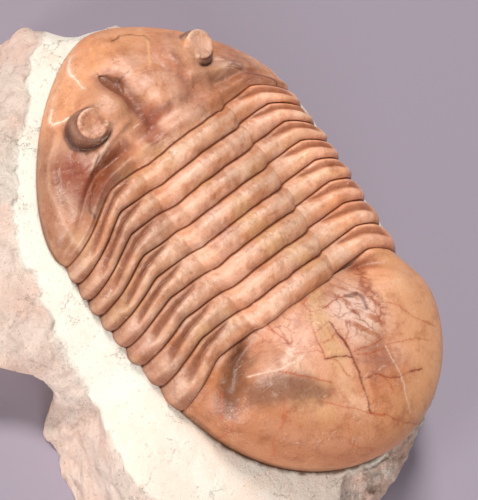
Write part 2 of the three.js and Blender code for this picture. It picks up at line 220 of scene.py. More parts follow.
# Thorax
def thorax(k, s):
    """A point at boundary k and share s of the width, and the direction out of the surface"""
    k, s = np.broadcast_arrays(np.asarray(k, float), np.asarray(s, float))
    t = np.abs(s)
    right = s > 0
    axis_half = 8.93 - 0.05 * (k - 3) ** 2
    knee_half = 15.78 - 0.093 * (k - 4.6) ** 2
    edge_half = 23.4 - 0.055 * (k - 2) ** 2 - np.where(right, 1.85 - 0.018 * k * k, 0)
    shelf = 7.11 - 0.079 * (k - 4)
    past = k - 4
    sweep = 3.0 - 0.6 * past + 0.1 * past ** 2 + 0.027 * past ** 3 + np.where(right, 0.134 * past - 0.28, 0)
    a = unit(t / AXIS_SHARE)
    i = unit((t - AXIS_SHARE) / (KNEE_SHARE - AXIS_SHARE))
    o = unit((t - KNEE_SHARE) / (1 - KNEE_SHARE))
    arch = 1 - a ** 2
    x = axis_half * a + (knee_half - axis_half) * i
    x = np.sign(s) * (x + (edge_half - knee_half) * np.sin(o * pi / 2) ** FLANK_SPREAD)
    z = shelf + CREST * arch ** (CREST_POWER / 2)
    z = z * unit(np.cos(o * pi / 2)) ** FLANK_DROP + RIM * t ** 4
    y = FIRST_EDGE - PITCH * k - PITCH_GROWTH * k * (k - SEGMENTS) - SKEW * past * x
    y = y + BOW * arch + AXIS_STEP * smooth(0.345, 0.445, t) - sweep * (1 - (1 - o) ** (2.3 - 0.077 * k))
    y = y + 0.16 * fbm(np.stack([8 * s, 1.9 * k, 0 * k], -1), 1, 2, 7) * (1 - t ** 4)
    lean = np.where(t < AXIS_SHARE, 0.35 * a, 0.35 * (1 - i)) * (o == 0) + 0.95 * o
    normal = np.stack([np.sign(s) * np.sin(lean), 0 * lean, np.cos(lean)], -1)
    return np.stack([x, y, z], -1), normal


def towards_head(k, s):
    """Plan direction across a boundary, pointing to the head"""
    a = thorax(k, np.clip(s - 0.01, -1, 1))[0]
    b = thorax(k, np.clip(s + 0.01, -1, 1))[0]
    across = np.stack([a[..., 1] - b[..., 1], b[..., 0] - a[..., 0]], -1)
    return across / np.linalg.norm(across, axis=-1, keepdims=True)


def columns(axis, inner, outer):
    """Columns across the body, closer together where the section bends"""
    half = np.concatenate([
        np.linspace(0, AXIS_SHARE, axis, endpoint=False),
        np.linspace(AXIS_SHARE, KNEE_SHARE, inner, endpoint=False),
        np.linspace(KNEE_SHARE, 1, outer + 1),
    ])
    return np.concatenate([-half[:0:-1], half])


# The pleural furrow: where it lies along the segment at each share of the width
FURROW_SHARE = [0.45, 0.50, 0.56, 0.62, 0.70, 0.75, 0.80]
FURROW_PLACE = [0.04, 0.14, 0.27, 0.39, 0.43, 0.48, 0.54]


def band(v, low, high, squareness):
    """Height across a rounded band that lies between low and high"""
    off_middle = unit(np.abs(2 * (v - low) / (high - low) - 1))
    return (1 - off_middle ** squareness) ** 0.8


def segment_surface(number, v, s):
    """Surface of one thoracic segment, and its depth for the colour: 1 for painted shade in the grooves,
    partly dust there, and below 0 for painted highlights on the ridges
    """
    t = np.abs(s)
    trimmed = s * (1 - TIP_SCALLOP * t ** 10 * (0.35 * (1 - v) ** 3 + v ** 4))
    p, normal = thorax(number - 1 + v, trimmed)
    on_pleura = smooth(AXIS_SHARE - 0.04, AXIS_SHARE + 0.08, t)
    on_tip = smooth(0.74, 0.92, t)
    # One rounded ring on the axis, a low front band and a high rear band on the pleura, one strap at the tip
    skewed = v ** (0.95 + 0.2 * on_pleura)
    whole = band(skewed, 0, 1, 2.1)
    split = np.interp(t, FURROW_SHARE, FURROW_PLACE)
    parted = smooth(0.44, 0.54, t) * (1 - smooth(0.74, 0.86, t))
    floor = 0.34 * (1 - np.abs(2 * v - 1) ** 4)
    two = np.where(v > split, band(v, split, 1, 2.2), 0.30 * band(v, 0, split, 2.0))
    ring = whole * (1 - parted) + (floor + (1 - floor) * two) * parted
    height = 0.94 - 0.04 * on_pleura - 0.2 * on_tip
    far = smooth(0, 0.1, s)
    axial = (0.28 - 0.14 * far) * bell(t, AXIS_SHARE - 0.02, 0.055 + 0.03 * far)
    wander = 0.26 * fbm(p, 3.2, 3, 11) + 0.12 * fbm(p, 1.1, 3, 23)
    lift = height * ring - axial * ring + wander * smooth(0, 0.2, np.minimum(v, 1 - v))
    forward = towards_head(number - 1 + v, trimmed) * (GAP * (v - 0.5))[..., None]
    p = p + normal * lift[..., None]
    p[..., :2] += forward
    # painted shade, partly dust in the creases: darker in the creases, the pleural furrow, the rear half of
    # each roll, beside the axial furrow and on the tips
    crease = np.maximum(1 - smooth(0, 0.09, v), 1 - smooth(0, 0.06, 1 - v))
    in_furrow = parted * (smooth(0, 0.6 * split, v) * smooth(split + 0.14, split, v))
    shade = 0.36 * smooth(0.5, 0.95, v) + 0.12 * (1 - far) * bell(t, AXIS_SHARE - 0.02, 0.05) + 0.38 * on_tip
    depth = np.maximum(np.maximum(crease, 0.72 * in_furrow), shade)
    # below 0: a painted highlight along the crest of each roll
    return p, depth - (1 - depth) * smooth(0.75, 1, ring) * smooth(0.75, 0.4, v)


# Shields
def shield_edge(shield, angle, side):
    """Point on a shield's outer edge, from its corner (angle 0) to the middle"""
    end = np.sin(angle) ** (2 / shield["power"])
    width = side * shield["half_width"] + shield["skew"]
    x = width * np.cos(angle) ** (2 / shield["power"]) + shield["turn"] * end
    return np.stack([x, shield["y"] + shield["way"] * shield["length"] * end], -1)


def shield_plan(shield, s, v):
    """Plan point of a shield: v goes from the thorax (0) to the outer edge (1)"""
    k = shield["boundary"]

    def inner(share):
        return thorax(k, share)[0][..., :2] + shield["way"] * GAP / 2 * towards_head(k, share)

    def outer(share):
        angle = pi / 2 - np.abs(share) * (pi / 2 - shield["corner"])
        return shield_edge(shield, angle, np.where(share < 0, -1, 1))

    def flank(side):
        start = shield_edge(shield, 0 * v, side)
        shift = (inner(side + 0 * v) - start) * ((1 - v) ** 5)[..., None]
        return shield_edge(shield, shield["corner"] * v, side) + shift

    right = ((s + 1) / 2)[..., None]
    along = v[..., None]
    p = inner(s) * (1 - along) + outer(s) * along + flank(-1) * (1 - right) + flank(1) * right
    for side, share in ((-1, 1 - right), (1, right)):
        p = p - inner(side + 0 * v) * share * (1 - along) - outer(side + 0 * v) * share * along
    return p


def shield_reach(shield, x, y):
    """How far out a point lies in a shield: 1 is its outer edge"""
    along = np.clip(shield["way"] * (y - shield["y"]) / shield["length"], 0, None)
    off = x - shield["turn"] * along
    across = np.abs(off) / (shield["half_width"] + np.sign(off) * shield["skew"])
    return (across ** shield["power"] + along ** shield["power"]) ** (1 / shield["power"])


def dome_height(shield, x, y):
    reach = shield_reach(shield, x, y)
    dome = np.clip(1 - reach ** shield["fall"], 0, None) ** (1 / shield["round"])
    return RIM + shield["height"] * dome


# Head relief, from the furrows and rises in front of the thorax to the eye mounds
CHEEK_LINE = [(12.5, 12.6), (15.8, 9.3), (17.3, 8.1), (18.8, 6.3), (20.1, 4.4), (21.0, 1.7), (21.8, -0.6)]
SUTURE = [(12.8, 4.3), (13.6, 3.8), (14.3, 3.0), (14.8, 1.9), (15.7, 1.0), (16.9, 0.0), (18.3, -1.5),
          (18.2, -2.5)]
AXIAL_FURROW = [(5.0, 12.6), (4.7, 10.4), (4.2, 8.6), (3.7, 6.7), (3.5, 4.9), (3.9, 3.4), (4.2, 2.4)]
NECK_FURROW = [(3.7, 3.9), (2.8, 4.5), (1.6, 4.6), (0.0, 4.4)]
BACK_RIDGE = [(6.6, 6.0), (7.8, 5.9), (9.3, 5.5), (11.0, 5.0), (12.8, 4.3), (14.4, 3.5)]
REAR_HOLLOW = [(8.6, 3.3), (10.7, 3.0), (12.3, 2.6), (14.1, 1.7), (15.4, 0.9)]
UNDER_EYE = [(14.1, 6.0), (14.4, 4.8), (13.3, 5.0)]
FLAKE = [(-5.4, 13.9), (-6.1, 12.6), (-6.1, 11.0), (-5.3, 9.7), (-4.2, 9.4), (-3.3, 10.7), (-3.1, 11.8),
         (-4.1, 13.1)]
TAIL_FURROW = [(7.5, -29.3), (9.6, -29.7), (13.0, -31.0), (16.7, -33.6), (18.3, -36.0)]


def head_offset(x, y):
    """Distance of a head feature from the middle, counted on the left side"""
    return np.abs(x) + HEAD_SHIFT * smooth(0, 6, x) * smooth(1, 7, y)


def inside_shape(x, y, corners):
    """Distance inward from the border of a convex shape, its corners given anticlockwise"""
    depth = np.full(np.shape(x), FAR)
    for (ax, ay), (bx, by) in zip(corners, corners[1:] + corners[:1]):
        length = np.hypot(bx - ax, by - ay)
        depth = np.minimum(depth, ((bx - ax) * (y - ay) - (by - ay) * (x - ax)) / length)
    return depth


def inside_cheek(ax, y):
    """Distance inward from the line that bounds the cheek's flat border"""
    line_x, line_y = np.array(CHEEK_LINE).T
    return np.interp(y, line_y[::-1], line_x[::-1]) - ax


def head_relief(x, y, distance):
    """Rises and furrows of the head shield, and its depth for the colour: 1 for painted shade in the grooves
    and below 0 for painted highlights on the ridges
    """
    ax = head_offset(x, y)
    right = smooth(-1, 2, x)
    middle = np.abs(x - MIDLINE)
    crest = 1.9 - 0.06 * np.clip(ax - 6, 0, None)
    ring = 0.8 * bell(distance, crest, 0.6 * crest)
    furrow_on = (0.25 + 0.95 * smooth(7, 10.5, ax) * (1 - 0.6 * smooth(14, 18, ax))) * (1 - 0.6 * right)
    furrow = furrow_on * bell(distance, 1.95 * crest, 0.95)
    glabella = np.exp(-(middle / 4.2) ** 4) * smooth(2.6, 5.6, y) * smooth(14.5, 8.5, y)
    axial = smooth(13.5, 11, y) * near_line(middle, y, AXIAL_FURROW, 1.9) * (1 - 0.55 * right)
    neck = near_line(-x, y, NECK_FURROW, 0.8)
    eye_rise = 2.1 * plateau(ax, y, (8, 9.7), (3.3, 3.5))
    inside = inside_cheek(ax, y)
    trough = smooth(-0.4, 2.2, inside) * smooth(8.5, 3.5, inside)
    trough = trough * smooth(11, 6, y) * smooth(-4, 1.5, y)
    under_eye = 0.6 * near_line(ax, y, UNDER_EYE, 0.6) - 0.4 * mound(ax, y, (14, 7.2), (1.4, 2))
    back_ridge = (0.55 + 0.45 * right) * near_line(ax, y, BACK_RIDGE, 0.62 + 0.3 * right)
    suture = 0.18 * near_line(ax, y, SUTURE, 0.13)
    flake = 0.3 * smooth(0, 0.3, inside_shape(x, y, FLAKE))
    brow = 0.35 * plateau(x, y, (-3.5, 14), (4, 2))
    rise = (ring - furrow + glabella - 0.6 * axial - 0.3 * neck + eye_rise - (1.5 - 0.9 * right) * trough
            + under_eye + back_ridge - suture - flake + brow)
    # painted shade in the border, axial and neck furrows; painted highlights on the ring's crest and the back
    # ridge
    groove = 0.5 * furrow_on * bell(distance, 1.9 * crest, 0.75) + 0.4 * axial + 0.4 * neck
    ridge = bell(distance, crest, 0.5 * crest) + near_line(ax, y, BACK_RIDGE, 0.45)
    groove = unit(groove)
    return rise, groove - (1 - groove) * unit(ridge)


def tail_relief(x, y, distance):
    """Rises and furrows of the tail shield, and its depth for the colour: 1 for painted shade in the grooves
    """
    ax = np.abs(x - MIDLINE)
    axis = 0.45 * bell(x, 0.6, 4.5) * smooth(0, 5, distance)
    furrow = line_distance(ax, y, TAIL_FURROW)
    strength = smooth(6.5, 12, ax) * (1 - 0.6 * smooth(14.5, 18, ax))
    rise = axis - 1.2 * strength * bell(furrow, 0, 1.35) + 0.3 * strength * bell(distance, 0.8, 0.6)
    return rise, 0.8 * strength * bell(furrow, 0, 0.9)


def eye_centre(side):
    if side < 0:
        return np.array([-EYE["x"], EYE["y"]])
    return np.array([EYE["x"] - HEAD_SHIFT, EYE["y"] + EYE["forward"]])


def eye_foot(side):
    return eye_centre(side) - [side * EYE["inward"], EYE["rearward"]]


def eye_warp(plan, side):
    """Draws the grid lines near an eye together, to cover its steep wall"""
    offset = plan - eye_foot(side)
    rho = np.hypot(*xy(offset))
    even = [0, 1.5, 1.9, 3.3, 3.7, EYE_REACH]
    drawn = [0, EYE["rim"] - 0.5, EYE["rim"], EYE["foot"], EYE["foot"] + 0.35, EYE_REACH]
    inner = smooth(1, 0.95, shield_reach(HEAD, *xy(plan)))
    warped = np.where(rho < EYE_REACH, rho + (np.interp(rho, even, drawn) - rho) * inner, rho)
    return eye_foot(side) + offset * (warped / np.maximum(rho, 1e-6))[..., None], warped


def eye_wall(plan, side):
    """Direction round an eye (0 is outward) and how freely its wall stands"""
    offset = plan - eye_foot(side)
    angle = np.arctan2(offset[..., 1], side * offset[..., 0])
    return angle, smooth(-0.78, -0.38, np.cos(angle + 0.09))


def raise_eye(p, rho, side):
    """Lifts the points inside an eye's foot to its round top"""
    centre, foot = eye_centre(side), eye_foot(side)
    angle, wall = eye_wall(p[..., :2], side)
    u = unit((EYE["foot"] - rho) / (EYE["foot"] - EYE["rim"]))
    undercut = wall * (0.20 * bell(u, 0.84, 0.10) - 0.12 * bell(u, 0.35, 0.3))
    radius = np.where(u < 1, EYE["foot"] + (EYE["rim"] - EYE["foot"]) * u ** 0.8 - undercut, rho)
    heading = np.stack([side * np.cos(angle), np.sin(angle)], -1)
    plan = foot + (centre - foot) * u[..., None] + heading * radius[..., None]
    out = side * (plan[..., 0] - centre[0])
    lip = 0.16 * smooth(1.2, 1.7, rho) * smooth(-1.6, -0.9, out)
    lip = lip - 0.18 * wall * smooth(1.9, EYE["rim"], rho) ** 2
    valley = bell(out, -EYE_CHORD - 0.1, 0.45) * smooth(2.6, 1.6, np.abs(plan[..., 1] - centre[1]))
    dent = 0.2 * smooth(1.3, 0.2, rho) + (0.3 if side < 0 else 0.1) * valley
    top = EYE["top"] - EYE["tilt"] * np.clip(out, -EYE_CHORD, None) + lip - dent
    on_disc = smooth(-EYE_CHORD - 1.2, -EYE_CHORD + 0.1, out)
    lift = wall * np.where(u < 1, 0.96 * u ** 0.7, 1) + (1 - wall) * smooth(0, 1, u) * on_disc
    knob = mound(*xy(plan), centre + [-side * KNOB[0], KNOB[1]], (0.4, 0.4))
    z = p[..., 2] + (top - p[..., 2]) * lift + 0.45 * knob * (u > 0)
    return np.where((u > 0)[..., None], np.concatenate([plan, z[..., None]], -1), p)


def slab(grid):
    """Closes a grid of top points (rows, columns) down to a flat underside"""
    rows, cols = grid.shape[:2]
    index = np.arange(rows * cols).reshape(rows, cols)
    loop = np.concatenate([index[0], index[1:, -1], index[-1, -2::-1], index[-2:0:-1, 0]])
    points = grid.reshape(-1, 3)
    under = points[loop] * [1, 1, 0] + [0, 0, SEAT]
    below = np.full(rows * cols, -1)
    below[loop] = rows * cols + np.arange(len(loop))
    quads = [np.stack([index[:-1, :-1], index[1:, :-1], index[1:, 1:], index[:-1, 1:]], -1).reshape(-1, 4)]
    after = np.roll(loop, -1)
    quads.append(np.stack([loop, after, below[after], below[loop]], -1))
    front, back = below[index[0]], below[index[-1]]
    quads.append(np.stack([front[:-1], front[1:], back[1:], back[:-1]], -1))
    fans = []
    for column, turned in ((below[index[:, 0]], False), (below[index[:, -1]], True)):
        fan = np.stack([np.full(rows - 2, column[0]), column[2:], column[1:-1]], -1)
        fans.append(fan[:, ::-1] if turned else fan)
    return np.concatenate([points, under]), quads + fans


def frame_offset():
    """Place of the body's own axes in the model's frame"""
    share = np.linspace(-1, 1, 401)
    outline = shield_plan(HEAD, share, np.ones_like(share))
    place = np.linspace(0, 1, 200)
    flank = shield_plan(HEAD, np.full_like(place, -1.0), place)
    low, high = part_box("cephalon")
    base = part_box("matrix")[0]
    return np.array([low[0] * METRE - flank[:, 0].min(), high[1] * METRE - outline[:, 1].max(),
                     base[2] * METRE - BASE])


OFFSET = frame_offset()


def to_frame(points):
    return (np.asarray(points) + OFFSET) * MM


def srgb(code):
    value = np.array([(code >> shift) & 255 for shift in (16, 8, 0)]) / 255
    return np.where(value < 0.04045, value / 12.92, ((value + 0.055) / 1.055) ** 2.4)


def mix(a, b, amount):
    amount = np.asarray(amount)[..., None]
    return a * (1 - amount) + b * amount


def make_piece(name, points, faces, tone, under, material):
    """A smooth piece for the node of its name, with a painted tone on top and one colour underneath"""
    mesh = bpy.data.meshes.new(name + "_surface")
    mesh.from_pydata(to_frame(points).tolist(), [], [f for part in faces for f in part.tolist()])
    mesh.update()
    mesh.polygons.foreach_set("use_smooth", np.ones(len(mesh.polygons), bool))
    layer = mesh.color_attributes.new("tone", "FLOAT_COLOR", "POINT")
    painted = tone.reshape(-1, len(under))
    colour = np.ones((len(points), 4), np.float32)
    colour[:, :len(under)] = under
    colour[:len(painted), :len(under)] = painted
    layer.data.foreach_set("color", colour.ravel())
    mesh.materials.append(material)
    piece = bpy.data.objects.new(name + "_detail", mesh)
    bpy.context.collection.objects.link(piece)
    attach(piece, "root")
    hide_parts(name)


# Shell colours
CARAMEL = srgb(0xCA8C68)
TAN = srgb(0xD8A484)
PINK = srgb(0xE2AE94)
PALE = srgb(0xF0D0BA)
OCHRE = srgb(0xD8AE80)
ORANGE = srgb(0xE29A66)
BROWN = srgb(0x965A3C)
UMBER = srgb(0x5A3220)
RUST = srgb(0x8E4026)
MAUVE = srgb(0xA87C6C)
CALCITE = srgb(0xF8DCC2)
EDGE_BROWN = srgb(0x6A4630)


def shell_tone(p, depth):
    """Colour of the shell: caramel, tan, pink and ochre patches, with painted shade in the grooves, partly
    dust there, and painted highlights on the ridges
    """
    patch = cells(p, 6, 131)[0]
    broad = fbm(p, 11, 3, 101) + 0.6 * (patch - 0.5)
    tone = mix(CARAMEL, TAN, smooth(-0.35, 0.35, broad))
    tone = mix(tone, PINK, 0.7 * smooth(0, 0.4, fbm(p, 5, 3, 141) + 0.3 * (patch - 0.5)))
    tone = mix(tone, OCHRE, 0.5 * smooth(0.15, 0.45, fbm(p, 5, 3, 151)))
    tone = mix(tone, MAUVE, 0.4 * smooth(0.15, 0.45, fbm(p, 4.2, 3, 161)))
    tone = mix(tone, PALE, 0.35 * smooth(0.1, 0.45, fbm(p, 3.6, 4, 181, 0.6)))
    tone = mix(tone, BROWN, 0.35 * smooth(0.12, 0.5, fbm(p, 1.4, 4, 171, 0.6)))
    # painted highlights on the ridges, then painted shade in the grooves, partly dust there
    tone = mix(tone, PALE, 0.45 * smooth(0, 1, -depth))
    tone = mix(tone, BROWN, 0.85 * smooth(0.1, 0.75, depth))
    tone = mix(tone, UMBER, 0.45 * smooth(0.65, 1, depth))
    # painted light: the left flank is painted darker and the right one lighter, and the whole shell is warm
    flank_light = np.interp(p[..., 0], [-24, -20, -13, -7, 9, 14], [0.74, 0.78, 0.92, 0.95, 1.00, 1.32])
    return np.minimum(tone * flank_light[..., None] * [1.04, 0.98, 0.92], 0.92)


def draw_line(tone, p, points, width, colour, strength):
    """Paints a thin wandering line of uneven width, with a faint stain beside it"""
    x = p[..., 0] + 0.34 * fbm(p, 1.9, 4, 211, 0.6)
    y = p[..., 1] + 0.34 * fbm(p, 1.9, 4, 223, 0.6)
    distance = line_distance(x, y, points)
    uneven = width * (0.85 + 0.9 * fbm(p, 1.3, 3, 233))
    tone = mix(tone, colour, 0.22 * strength * smooth(3.2 * width, 0.5 * width, distance))
    return mix(tone, colour, strength * smooth(uneven, 0.3 * uneven, distance))


def stain_or_painted_light(tone, p, points, width, colour, strength, seed):
    """Paints a soft, mottled patch along a line, used for stains and also for painted shade and painted
    highlights
    """
    distance = line_distance(*xy(p), points) + 0.5 * width * fbm(p, 1.2 * width, 4, seed, 0.6)
    return mix(tone, colour, strength * smooth(width, 0.25 * width, distance))


# Width, colour and line of each vein in the head
VEINS = [
    (0.19, CALCITE, [(-8.5, 16.5), (-10.5, 15.2), (-11.9, 14.0), (-13.4, 12.4), (-13.9, 11.6), (-12.8, 11.2),
                     (-12.0, 11.2)]),
    (0.19, CALCITE, [(-4.6, 18.4), (-6.7, 16.9), (-7.4, 16.1), (-8.1, 13.4)]),
    (0.13, ORANGE, [(-1.1, 19.0), (-2.7, 17.7), (-4.4, 15.4), (-5.2, 13.9)]),
    (0.13, srgb(0xF2BC80), [(4.9, 14.1), (3.5, 12.8), (1.5, 10.8)]),
    (0.14, ORANGE, [(8.0, 10.6), (6.9, 9.8), (5.9, 8.3)]),
]
HEAD_CRACKS = [
    [(-5.3, 14.0), (-5.4, 13.5), (-4.6, 13.0), (-4.0, 12.1), (-3.5, 11.4), (-3.1, 11.6), (-1.8, 11.7)],
    [(-5.4, 13.3), (-5.6, 11.9), (-5.5, 11.0)],
    [(-3.7, 11.4), (-4.7, 10.3)],
    [(0.3, 16.7), (2.0, 16.7), (3.6, 16.0), (5.1, 14.7), (4.9, 13.8)],
]
GLABELLA_LIGHTS = [(-2.2, 9.0), (-0.6, 9.0), (-1.4, 7.2), (1.9, 8.1), (1.9, 6.4), (0.4, 2.4), (-2.0, 2.3)]
# Painted shade in the furrows and the rear hollow, and painted highlights under the eye and on the back
# ridge, on both sides of the head: line, width, colour, strength and seed
HEAD_SHADE_AND_HIGHLIGHTS = [
    (AXIAL_FURROW, 2.4, srgb(0x9A543E), 0.6, 611),
    ([(a + 0.6, b) for a, b in AXIAL_FURROW[1:5]], 0.9, srgb(0x7A3E2A), 0.55, 613),
    (REAR_HOLLOW, 1.5, srgb(0x8A4A2E), 0.75, 621),
    (UNDER_EYE, 0.9, PALE, 0.25, 625),
    (BACK_RIDGE[3:], 0.6, PALE, 0.45, 627),
]
EYE_TOP_TONE = {-1: srgb(0xC48868), 1: srgb(0xDEAC92)}
EYE_WALL_TONE = {-1: srgb(0x643C2C), 1: srgb(0x6A3E2E)}
# Width, strength and line of each crack in the tail
TAIL_CRACKS = [
    (0.20, 0.9, [(0.6, -33.9), (0.5, -35.8), (0.6, -37.4), (0.4, -38.9), (0.2, -39.8), (-0.2, -41.4),
                 (-0.5, -42.8), (-1.2, -44.7), (-1.5, -46.0), (-1.9, -47.9)]),
    (0.20, 0.9, [(-3.5, -37.5), (-1.8, -38.5), (-0.5, -39.1), (0.2, -39.8)]),
    (0.15, 0.8, [(-0.5, -42.8), (1.1, -43.7), (2.5, -44.5), (3.6, -45.7), (5.1, -46.5), (6.5, -46.7),
                 (9.1, -47.7)]),
    (0.15, 0.6, [(2.5, -44.5), (3.0, -45.8), (2.9, -47.3)]),
    (0.13, 0.7, [(0.5, -29.0), (-0.3, -29.5), (-0.4, -31.1), (-1.8, -32.8), (-2.8, -34.9), (-3.0, -36.4),
                 (-3.5, -37.5)]),
    (0.10, 0.5, [(-0.2, -29.4), (1.7, -29.3), (4.0, -29.3)]),
    (0.10, 0.5, [(-0.4, -31.1), (1.0, -31.8), (2.4, -32.0)]),
    (0.10, 0.5, [(-2.4, -33.8), (-1.0, -33.9), (0.6, -33.9)]),
    (0.10, 0.6, [(-2.2, -35.4), (-0.9, -35.9), (0.7, -35.9)]),
    (0.13, 0.6, [(-2.8, -37.9), (-2.1, -39.1), (-2.1, -40.9), (-1.8, -41.9)]),
    (0.13, 0.7, [(1.9, -32.0), (3.7, -31.9), (5.9, -32.5)]),
    (0.16, 0.7, [(0.9, -39.4), (2.2, -39.6), (3.9, -40.2), (5.7, -40.4)]),
    (0.12, 0.6, [(1.1, -40.0), (3.2, -41.1), (5.4, -41.7)]),
    (0.12, 0.6, [(0.6, -37.4), (2.1, -36.5), (3.1, -35.0)]),
    (0.11, 0.6, [(10.4, -36.8), (11.7, -38.2), (12.6, -40.4), (14.0, -42.4), (15.7, -44.3)]),
    (0.10, 0.5, [(5.8, -41.5), (7.8, -42.2), (10.2, -43.2), (13.0, -45.1)]),
    (0.15, 0.7, [(-6.1, -29.1), (-6.0, -30.4), (-6.0, -32.0), (-6.0, -33.6)]),
    (0.13, 0.7, [(-10.0, -35.1), (-8.6, -36.7), (-7.5, -37.7), (-6.2, -39.3), (-4.6, -40.8)]),
    (0.13, 0.6, [(-6.2, -34.6), (-4.9, -35.4), (-3.8, -35.9), (-3.2, -36.7)]),
    (0.16, 0.4, [(-12.1, -38.9), (-13.0, -40.2), (-14.1, -41.8)]),
    (0.18, 0.5, [(-17.6, -33.0), (-18.5, -34.0), (-19.1, -36.0)]),
    (0.15, 0.7, [(-1.9, -47.9), (-0.7, -49.0), (0.8, -50.8), (2.4, -52.3), (5.6, -54.3)]),
    (0.18, 0.4, [(-7.9, -41.6), (-6.1, -43.6), (-4.3, -45.6), (-1.9, -47.9)]),
    (0.15, 0.55, [(-17.2, -35.9), (-18.7, -37.3), (-19.2, -38.7)]),
    (0.15, 0.5, [(-12.4, -40.4), (-14.3, -41.8), (-15.7, -43.1), (-15.6, -44.8)]),
    (0.13, 0.4, [(-5.7, -47.1), (-6.7, -49.7), (-3.4, -53.0)]),
]
TAIL_SCRATCHES = [
    (0.11, [(5.8, -41.5), (5.6, -43.5), (5.5, -45.8), (5.0, -47.8), (4.3, -49.9), (4.0, -51.7)]),
    (0.14, [(-13.7, -33.3), (-11.6, -34.1), (-9.8, -34.9), (-7.2, -35.5), (-6.2, -35.5)]),
    (0.12, [(-6.6, -35.4), (-7.6, -36.6)]),
]
STRIP = [(2.4, -29.6), (0.8, -31.5), (-0.7, -33.9), (-1.2, -36.2), (-1.5, -38.2)]
STRIP_END = [(-1.9, -40.0), (-2.5, -42.0), (-3.0, -44.2)]
RUST_SEAM = [(12.1, -31.0), (10.4, -32.5), (9.3, -34.1), (9.2, -35.5), (9.1, -37.2), (7.7, -38.0)]
CORNER_HOLLOW = [(-11.6, -29.8), (-14.1, -31.4), (-16.3, -33.2), (-17.8, -34.6)]
# a dark grey-brown band on the tail
GREY_BROWN_BAND = [(-14.1, -36.0), (-11.4, -36.7), (-8.9, -38.8), (-7.1, -40.9)]
# Stains on the tail in the same form, below and above its rusty seams; the dark brown along the corner hollow
# is painted shade
UNDER_STAINS = [
    (STRIP, 2.0, srgb(0xD6AC7C), 0.6, 361),
    (STRIP_END, 1.6, srgb(0xDCB08A), 0.6, 365),
    (RUST_SEAM, 1.1, srgb(0xC0724C), 0.45, 375),
]
OVER_STAINS_AND_SHADE = [
    ([(5.9, -32.5), (7.8, -33.3), (7.8, -34.2), (7.1, -35.6)], 0.5, srgb(0x7A4C44), 0.7, 381),
    (GREY_BROWN_BAND, 3.2, srgb(0x80563F), 0.8, 385),
    # painted shade in the corner hollow
    (CORNER_HOLLOW, 2.8, srgb(0x6E442E), 0.8, 387),
    ([(-8.4, -34.5), (-6.3, -33.7)], 0.9, PALE, 0.7, 391),
]


def mirrored(line, side):
    """A line given on the right side, laid on the chosen side"""
    return [(side * a, b) for a, b in line]


def head_tone(p, depth):
    x, y = xy(p)
    ax = head_offset(x, y)
    left = smooth(2, -1, x)
    inside = inside_cheek(ax, y)
    tone = shell_tone(p, depth)
    shaded = block(ax, y, (14.5, 1.5), (5.5, 8.5))
    behind_glabella = block(x, y, (-1, 3.2), (9, 2.6))
    tone = tone * (1 - 0.3 * shaded)[..., None] * (1 - behind_glabella[..., None] * [0.12, 0.18, 0.16])
    tone = mix(tone, ORANGE, 0.6 * smooth(13.5, 17, y + 0.35 * np.abs(x)))
    tone = mix(tone, srgb(0xC88E6C), 0.8 * plateau(ax, y, (8, 7.8), (3.8, 5)))
    low = smooth(13, 9, y)
    tone = mix(tone, srgb(0xA06A4A), 0.75 * low * smooth(0.4, -0.6, inside))
    # painted highlight along the ridge at the cheek line
    tone = mix(tone, PALE, 0.2 * low * bell(inside, 0, 0.25))
    striped = 0.95 + 0.5 * streaks(p, GRAIN, 0.5, 601)
    red = block(ax, y, (15.8, 3.2), (2.8, 4))
    tone = mix(tone, srgb(0x8E4A36), unit(0.95 * red * striped * (0.5 + 0.5 * left)))
    # painted shade in the neck furrow on the left
    tone = stain_or_painted_light(tone, p, mirrored(NECK_FURROW, -1), 0.9, srgb(0x9A5840), 0.5, 615)
    for side, share in ((-1, 1), (1, 0.5)):
        # painted shade in the furrows and hollow, painted highlights on the ridges
        for line, width, colour, strength, seed in HEAD_SHADE_AND_HIGHLIGHTS:
            tone = stain_or_painted_light(tone, p, mirrored(line, side), width, colour, strength * share, seed)
        tone = draw_line(tone, p, mirrored(SUTURE, side), 0.15, UMBER, 0.6)
    # painted highlights on the glabella
    for spot in GLABELLA_LIGHTS:
        tone = stain_or_painted_light(tone, p, [spot, (spot[0] + 0.3, spot[1])], 1.5, PINK, 0.6, 631)
    flake = inside_shape(x, y, FLAKE) + 0.35 * fbm(p, 0.9, 3, 635)
    tone = mix(tone, srgb(0x8E563C), 0.8 * smooth(0, 0.25, flake))
    off_rim = smooth(0.999, 0.985, shield_reach(HEAD, x, y))
    for width, colour, line in VEINS:
        tone = draw_line(tone, p, line, width, colour, 0.9 * off_rim)
    for line in HEAD_CRACKS:
        tone = draw_line(tone, p, line, 0.13, srgb(0x6E3E28), 0.8)
    return tone


